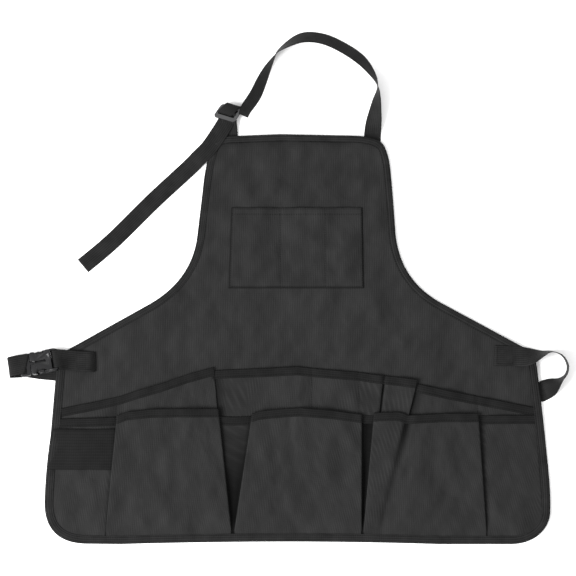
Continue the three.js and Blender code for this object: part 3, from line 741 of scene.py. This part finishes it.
# a strap's stations are x, y, roll about its length and height of its lower edge
neckStrap = {
    "width": 25, "thickness": 1.2,
    "parts": [("neckStrapLoop", [
            (126.5, 186, 0, 0), (126.8, 229, 0, 0), (128.3, 246, 18, 0), (130.5, 264, 43, 0),
            (132.8, 282, 63, 0), (134.3, 299, 88, 0), (128, 317, 112, 0), (109, 341, 132, 0),
            (79, 361, 134, 0), (49, 373, 134, 0), (19, 373.5, 130, 0), (-11, 357, 104, 0),
            (-20, 346, 88, 0), (-31, 327, 66, 0), (-40, 308, 52, 0), (-48, 290, 46, 0),
            (-57, 276, 46, 0), (-63.5, 266.5, 50, 0), (-67, 257.2, 56, 0),
            ], "neck_strap", ((-0.047, 0.293, 0.005), (-0.069, 0.26, 0.005))), ("neckStrapTail", [
            (-91, 252, 0, 5.2), (-96, 243, 0, 5), (-105, 229, 0, 4.6), (-119, 209, 0, 4.4),
            (-133, 195, 0, 4.2), (-150, 178, 0, 1.4), (-201, 131, 0, 0.4), (-262, 71, 0, 0.1),
            (-307.5, 32.5, 0, 0),
            ], "neck_strap_tail", ((-0.116, 0.213, 0.006), (-0.096, 0.243, 0.006)))],
}


def makeNeckStrap(settings):
    for name, stations, node, bend in settings["parts"]:
        frames = strapFrames(stations, settings["width"], settings["thickness"])
        makeRibbon(name, frames, settings, node, bend=bend)


makeNeckStrap(neckStrap)

sliderPlace = {"place": (-88.5, 262.5, 9), "turn": -17}


def sliderMatrix():
    x, y, z = sliderPlace["place"]
    return Matrix.Translation((x, y, z)) @ Matrix.Rotation(math.radians(sliderPlace["turn"]), 4, "Z")


def inMetres(placing):
    # the same placing for a mesh, whose points are in metres
    return Matrix.Scale(0.001, 4) @ placing @ Matrix.Scale(1000, 4)


def smoothRoute(points, steps):
    route = []
    for k in range(len(points) - 1):
        route += [splinePoint(points, k, i / steps) for i in range(steps)]
    return route + [list(points[-1])]


def wrapFrames(route, ways):
    # frames for a ribbon along a route, given its direction across at each point
    frames = []
    for i, p in enumerate(route):
        before, after = Vector(route[max(i - 1, 0)]), Vector(route[min(i + 1, len(route) - 1)])
        heading = (after - before).normalized()
        across = Vector(ways[i])
        frames.append((Vector(p), across, across.cross(heading).normalized()))
    return frames


threadedStrap = {
    # the stretch of neck strap from under the slider, over its upper bar and down behind its lower one
    "width": 22.8, "thickness": 1.2,
    "lean": 0.58, "leanLimit": -3.4, "shift": -3.6,  # the strap crosses the bars at a slant
    # from the neck loop's end to the bars, in the slider's own frame, and which way it faces across
    "under": [((17, 6.6, -7.2), (0.33, 0.94)), ((12.5, 7.6, -7), (0.45, 0.89)),
        ((8, 8.8, -6.2), (0.75, 0.66))],
    "profile": [(9, -5), (11.4, -3.4), (12.8, -1.2), (12.4, 1.4), (11, 3), (8, 4.1), (4, 4.5), (0, 4.3),
        (-2.6, 3.5), (-4.4, 1.3), (-4.8, -1.6), (-6.6, -3.7), (-10, -3.9), (-13, -3.3)],
}


def makeThreadedStrap(settings):
    profile = [(max(settings["lean"] * y, settings["leanLimit"]) + settings["shift"], y, z)
        for y, z in settings["profile"]]
    stops = [(*place, *way) for place, way in settings["under"]] + [(*place, 1, 0) for place in profile]
    route = smoothRoute(stops, 4)
    frames = wrapFrames([p[:3] for p in route], [Vector((*p[3:], 0)).normalized() for p in route])
    makeRibbon("neckStrapOverBar", frames, settings, "neck_strap_wrap", "slider",
        placing=inMetres(sliderMatrix()))


makeThreadedStrap(threadedStrap)

neckTab = {
    "width": 22.6, "thickness": 1.15, "turnRadius": 2.725,
    # doubled webbing, beside the slider's place and above the table: up under its middle bar,
    # then round the bar, and back down on top
    "under": [(2.3, -66, 0.8), (2.3, -50, 0.8), (2.1, -36, 0.9), (1.8, -29, 1.8), (1.2, -20, 3.3),
        (0.8, -12, 4.6), (0.4, -6, 5.2), (0, -1.5, 5.675)],
    "onTop": [(0, -4.4, 7.1), (0.3, -9, 7.1), (0.8, -15, 6), (1.4, -24, 4.2), (1.8, -29, 3.2),
        (2.1, -33, 2.4)],
    "turnOver": 24,  # it turns to the slider's angle over this length
}


def makeNeckTab(settings):
    x, y, z = sliderPlace["place"]
    radius = settings["turnRadius"]
    turned = [(x, y + radius * math.sin(a), z - radius * math.cos(a))
        for a in [math.radians(d) for d in range(20, 341, 20)]]
    under, onTop = [[(x + a, y + b, c) for a, b, c in settings[leg]] for leg in ("under", "onTop")]
    route = under + turned + onTop
    turn = math.radians(sliderPlace["turn"])
    tilted, flat = Vector((math.cos(turn), math.sin(turn), 0)), Vector((1, 0, 0))
    shares = [ease(1 - (y - 4 - p[1]) / settings["turnOver"]) for p in route]
    ways = [flat.lerp(tilted, share).normalized() for share in shares]
    makeRibbon("neckTab", wrapFrames(route, ways), settings, "neck_tab")


makeNeckTab(neckTab)
print("neck strap made")

buckle = {"place": (-348, -105.5, 13), "turn": 11, "roll": -15}


def buckleMatrix():
    return (Matrix.Translation(buckle["place"]) @ Matrix.Rotation(math.radians(buckle["turn"]), 4, "Z")
        @ Matrix.Rotation(math.radians(buckle["roll"]), 4, "X"))


waistStrap = {
    "width": 30, "thickness": 1.2,
    "stations": [
        (309, -101.5, 0, 5.2), (340, -102.5, 0, 5.4), (358, -103, 25, 4.2), (378, -99, 70, 2),
        (391, -95.5, 88, 0), (403.5, -97.5, 90, 0), (412.5, -104, 90, 0), (418.3, -117, 90, 0),
        (416, -129, 90, 0), (407, -138, 100, 0), (396, -146, 140, 0), (386, -153, 176, 0),
        (374, -157, 180, 0), (330, -157, 180, 0), (0, -142, 180, 0), (-200, -133, 180, 0),
        (-272, -129, 180, 0),
    ],
    # its free end: out from under the apron, round in a loop and over the plug half's bar
    "under": [(-268, -128, 0.65), (-300, -127.5, 0.65), (-332, -126, 0.65), (-350, -124.5, 0.7),
        (-372, -122.5, 0.8), (-392, -119.5, 1.1)],
    # the loop's centre and radius, and the stretch over the bar, in the buckle's own frame
    "loop": (-64.7, -2.2, 6.4),
    "over": [(-60.7, 4.1), (-56.7, 4.3), (-52.7, 4.2), (-48.1, 4.1), (-44.7, 3.7), (-42.7, 2.9)],
    "slant": (0.36, 0.93, 0),
}


def makeWaistStrap(settings):
    frames = strapFrames(settings["stations"], settings["width"], settings["thickness"])
    makeRibbon("waistStrap", frames, settings, "waist_strap")
    x, z, radius = settings["loop"]
    over = [(x + radius * math.cos(a), 0, z + radius * math.sin(a))
        for a in [math.radians(d) for d in range(240, 109, -13)]]
    over += [(a, 0, b) for a, b in settings["over"]]
    place = buckleMatrix()
    route = settings["under"] + [tuple(place @ Vector(p)) for p in over]
    flat = Vector((0, 1, 0))
    rolled = (place.to_3x3() @ flat).normalized()
    slanted = (place.to_3x3() @ Vector(settings["slant"])).normalized()
    ways = [flat] * len(settings["under"])
    for i in range(len(over)):
        way = flat.lerp(rolled, min(i / 6, 1))
        ways.append(way.lerp(slanted, ease((i - len(over) + 7) / 5)).normalized())
    makeRibbon("waistStrapEnd", wrapFrames(route, ways), settings, "waist_strap_end", "male_half")


makeWaistStrap(waistStrap)

waistTab = {
    "width": 30, "thickness": 1.2,
    # doubled webbing: from its sewn end up to the buckle's bar, and back under itself
    "over": [(-289, -111.5, 6.6), (-300, -110.8, 6.6), (-318, -109.5, 6.9), (-328, -108.6, 8.6),
        (-336, -107.4, 12), (-342, -106.4, 15.4)],
    "under": [(-342, -106.4, 10), (-336, -107.4, 7.8), (-328, -108.6, 5.9), (-318, -109.5, 5.2),
        (-300, -110.8, 5.1), (-290, -111.5, 5.1)],
    "turnRadius": 2.8, "loose": (2.4, 1.1),  # a loose turn round the bar fills the slot beside it
}


def makeWaistTab(settings):
    radius, place = settings["turnRadius"], buckleMatrix()
    turned = []
    for a in [math.radians(d) for d in range(100, -81, -20)]:
        long = radius * mix(*settings["loose"], (math.sin(a) + 1) / 2)
        turned.append(tuple(place @ Vector((-long * math.cos(a), 0, radius * math.sin(a)))))
    route = settings["over"] + turned + settings["under"]
    flat = Vector((0, 1, 0))
    rolled = (place.to_3x3() @ flat).normalized()
    ways = [flat.lerp(rolled, ease((-326 - p[0]) / 20)).normalized() for p in route]
    makeRibbon("waistTab", wrapFrames(route, ways), settings, "waist_tab")


makeWaistTab(waistTab)
print("waist strap made")


# the buckle's four pieces are copied from the frame, welded and with their edges softened
moulded = {
    # squeezed a little towards its lower side, where the webbing has crept over it
    "soften": 0.7, "squeeze": 0.9, "side": -19,
    # oval openings over the grips: place and half size, then their mid height and depth
    "windows": [(-22, -18.6, 9.3, 5.4), (-22, 14.6, 9.3, 4.6)], "windowHeight": 5.5, "windowDepth": 9,
    "groove": ((-31, -14.5), (-3.4, 0.4), (2, 9)),
    "notch": ((-44, -33), (-4.7, 1.7), (-9, 9)),
}


def softEdges(made, width):
    useModifier(made, "BEVEL", width=width / 1000, segments=3, limit_method="ANGLE",
        angle_limit=math.radians(32), harden_normals=True, use_clamp_overlap=True)


def addBlock(name, sides):
    bpy.ops.object.select_all(action="DESELECT")
    bpy.ops.mesh.primitive_cube_add(size=1)
    made = bpy.context.object
    made.name = made.data.name = name
    size = Matrix.Diagonal((*[(b - a) / 1000 for a, b in sides], 1))
    made.data.transform(Matrix.Translation([(a + b) / 2000 for a, b in sides]) @ size)
    return made


def cutAway(made, tool):
    useModifier(made, "BOOLEAN", object=tool, operation="DIFFERENCE", solver="EXACT")
    bpy.data.objects.remove(tool)


def openBuckle(made, metres, settings):
    depth, height = settings["windowDepth"] / 1000, settings["windowHeight"] / 1000
    for x, y, halfLong, halfWide in settings["windows"]:
        bpy.ops.object.select_all(action="DESELECT")
        bpy.ops.mesh.primitive_cylinder_add(vertices=28, radius=0.001, depth=depth)
        tool = bpy.context.object
        oval = Matrix.Diagonal((halfLong, halfWide, 1, 1))
        tool.data.transform(metres @ Matrix.Translation((x / 1000, y / 1000, height)) @ oval)
        cutAway(made, tool)
    tool = addBlock("grooveCutter", settings["groove"])
    tool.data.transform(metres)
    cutAway(made, tool)
    # the notch narrows to a point
    (_, right), across, _ = settings["notch"]
    tool = addBlock("notchCutter", settings["notch"])
    for corner in tool.data.vertices:
        if corner.co.x * 1000 > right - 1:
            corner.co.y = sum(across) / 2000
    tool.data.transform(metres)
    cutAway(made, tool)


def softenedCopy(node, name, body, settings):
    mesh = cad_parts[node].data.copy()
    mesh.name = name
    made = bpy.data.objects.new(name, mesh)
    scene.collection.objects.link(made)
    work = bmesh.new()
    work.from_mesh(mesh)
    bmesh.ops.remove_doubles(work, verts=work.verts, dist=0.00002)
    bmesh.ops.dissolve_limit(work, angle_limit=math.radians(1), verts=work.verts, edges=work.edges)
    work.to_mesh(mesh)
    work.free()
    metres = inMetres(buckleMatrix())
    side = settings["side"] / 1000
    squeeze = Matrix.Diagonal((1, settings["squeeze"], 1, 1))
    narrow = Matrix.Translation((0, side, 0)) @ squeeze @ Matrix.Translation((0, -side, 0))
    mesh.transform(metres @ narrow @ metres.inverted())
    if node == "buckle_female":
        openBuckle(made, metres, settings)
    mesh.shade_smooth()
    softEdges(made, settings["soften"])
    return finishPiece(made, body, acetal, "buckle_plastic", node)


for node, name, body in [("buckle_female", "buckleSocketHalf", "apron"),
        ("buckle_male", "bucklePlugHalf", "male_half"),
        ("latch_arm_upper", "latchProngUpper", "latch_upper"),
        ("latch_arm_lower", "latchProngLower", "latch_lower")]:
    softenedCopy(node, name, body, moulded)

sliderFrame = {
    "block": ((-17, 16.4), (-12.4, 9.8), (-2.3, 2.3)), "corner": 4.2, "lean": 0.32, "soften": 1.3,
    "slots": [((-13.4, 11.2), (2, 6.2)), ((-13.4, 11.2), (-6.4, -2))],
}


def makeSlider(settings):
    made = addBlock("strapSlider", settings["block"])
    bpy.ops.object.mode_set(mode="EDIT")
    bpy.ops.mesh.select_mode(type="EDGE")
    bpy.ops.mesh.select_all(action="DESELECT")
    bpy.ops.object.mode_set(mode="OBJECT")
    for side in made.data.edges:  # the four upright ones
        a, b = (made.data.vertices[k].co for k in side.vertices)
        side.select = abs(a.z - b.z) > 0.001
    bpy.ops.object.mode_set(mode="EDIT")
    bpy.ops.mesh.bevel(offset=settings["corner"] / 1000, segments=5)
    bpy.ops.object.mode_set(mode="OBJECT")
    for across, along in settings["slots"]:
        cutAway(made, addBlock("slotCutter", (across, along, (-9, 9))))
    lean = Matrix.Identity(4)
    lean[0][1] = settings["lean"]
    made.data.transform(inMetres(sliderMatrix()) @ lean)
    made.data.shade_smooth()
    softEdges(made, settings["soften"])
    return finishPiece(made, "slider", polished, "buckle_plastic", "strap_slider")


makeSlider(sliderFrame)
print("buckle and slider made")


# each stitch is a small spindle of thread
stitching = {"pitch": 3.6, "length": 2.7, "radius": 0.26}


def resample(route, pitch):
    route = [Vector(p) for p in route]
    made, carry = [route[0]], 0
    for a, b in zip(route, route[1:]):
        span = (b - a).length
        at = pitch - carry
        while at <= span:
            made.append(a.lerp(b, at / span))
            at += pitch
        carry = span - (at - pitch)
    return made


def makeStitches(name, routes, settings):
    points, faces = [], []
    for route in routes:
        spots = resample(route, settings["pitch"])
        for a, b in zip(spots, spots[1:]):
            heading = (b - a).normalized()
            side = heading.cross(Vector((0, 0, 1))).normalized() * settings["radius"]
            up = side.cross(heading).normalized() * settings["radius"]
            if up.z < 0:
                up = -up
            middle = (a + b) / 2
            reach = heading * settings["length"] / 2
            # a point at each end and two squares between
            first = len(points)
            points.append(tuple(middle - reach - up * 0.8))
            for t in (-0.6, 0.6):
                points += [tuple(middle + reach * t + way + up * 0.35) for way in (side, up, -side, -up)]
            points.append(tuple(middle + reach - up * 0.8))
            for k in range(4):
                d = (k + 1) % 4
                faces.append((first, first + 1 + d, first + 1 + k))
                faces.append((first + 1 + k, first + 1 + d, first + 5 + d, first + 5 + k))
                faces.append((first + 9, first + 5 + k, first + 5 + d))
    made = newPiece(name, points, faces)
    facingOut(made)
    finishPiece(made, "apron", thread, "binding")


def onEdge(inside, up):
    # a closed route at an even distance in from the apron's edge
    route = []
    for (p, run), n in zip(edge, edgeIn):
        x, y = p[0] + n.x * inside, p[1] + n.y * inside
        route.append((x, y, lift(x, y) + up + bindingRise(x, y)))
    return route + route[:1]


def onStrip(lines, settings, down, up):
    return [tuple(Vector(stripPoint(line, down, settings)) + Vector((0, 0, up))) for line in lines]


def upStrip(lines, x, settings, fromDown, toDown, atHem=True):
    # a seam up the strip, along its line nearest to x at the hem or at the mouth
    line = min(lines, key=lambda l: abs(l[0 if atHem else 1] - x))
    steps, up = 24, Vector((0, 0, 0.1))
    return [tuple(Vector(stripPoint(line, mix(fromDown, toDown, i / steps), settings)) + up)
        for i in range(steps + 1)]


def boxStitch(x0, y0, x1, y1, z, tilt=0):
    a, b, c, d = (x0, y0 + tilt, z), (x1, y0, z), (x1, y1, z), (x0, y1 + tilt, z)
    return [a, b, c, d, a]


seams = [
    onEdge(10.4, 2.45),
    onStrip(upperLines, upper, 9.8, 0.6),
    onStrip(lowerLines, lower, 9.8, 0.6),
    onStrip(bibLines, bibPocket, 10, 0.1),
    *[upStrip(bibLines, x, bibPocket, 118, 3) for x in (-86, -12, 55.5, 111.5)],
    [(x, 1.6, panelTop(x, 1.6) + 0.95) for x in range(-86, 112, 4)],
    *[upStrip(upperLines, x, upper, 12, low, False)
        for x, low in ((-256.5, 60), (35.5, 80), (106, 80), (283, 60))],
    boxStitch(-316, -122.5, -292, -99, 7.3, 1.5),
    boxStitch(313, -114, 337, -89.5, 6.7),
]
makeStitches("sewingThread", seams, stitching)
print("stitching made")


studio = {
    "floor": "#ffffff", "sky": 1.0, "camera": 4000, "view": 864, "centre": (0, -0.5),
    "lights": [("keyLight", (-3.4, -1.5, 3.0), 2.6, 470), ("fillLight", (2.6, 2.4, 2.8), 2.0, 40)],
}


def makeStudio(settings):
    floorMesh = bpy.data.meshes.new("studioFloor")
    floorMesh.from_pydata([(-9, -9, -0.0002), (9, -9, -0.0002), (9, 9, -0.0002), (-9, 9, -0.0002)], [],
        [(0, 1, 2, 3)])
    floor = bpy.data.objects.new("studioFloor", floorMesh)
    scene.collection.objects.link(floor)
    paper = bpy.data.materials.new("whitePaper")
    paper.use_nodes = True
    shader = paper.node_tree.nodes["Principled BSDF"]
    shader.inputs["Base Color"].default_value = linear(settings["floor"])
    shader.inputs["Roughness"].default_value = 0.9
    shader.inputs["Specular IOR Level"].default_value = 0.1
    floorMesh.materials.append(paper)
    world = bpy.data.worlds.new("studioSky")
    scene.world = world
    world.use_nodes = True
    world.node_tree.nodes["Background"].inputs["Color"].default_value = (1, 1, 1, 1)
    world.node_tree.nodes["Background"].inputs["Strength"].default_value = settings["sky"]
    for name, place, size, power in settings["lights"]:
        light = bpy.data.lights.new(name, "AREA")
        light.energy, light.size = power, size
        lamp = bpy.data.objects.new(name, light)
        lamp.location = place
        lamp.rotation_euler = (-Vector(place)).to_track_quat("-Z", "Y").to_euler()
        scene.collection.objects.link(lamp)
    camera = bpy.data.cameras.new("studioCamera")
    camera.sensor_width = 36
    camera.lens = 36 * settings["camera"] / settings["view"]
    camera.clip_end = 50
    eye = bpy.data.objects.new("studioCamera", camera)
    eye.location = (settings["centre"][0] / 1000, settings["centre"][1] / 1000, settings["camera"] / 1000)
    scene.collection.objects.link(eye)
    scene.camera = eye
    scene.view_settings.view_transform = "Standard"


makeStudio(studio)
print("studio made")
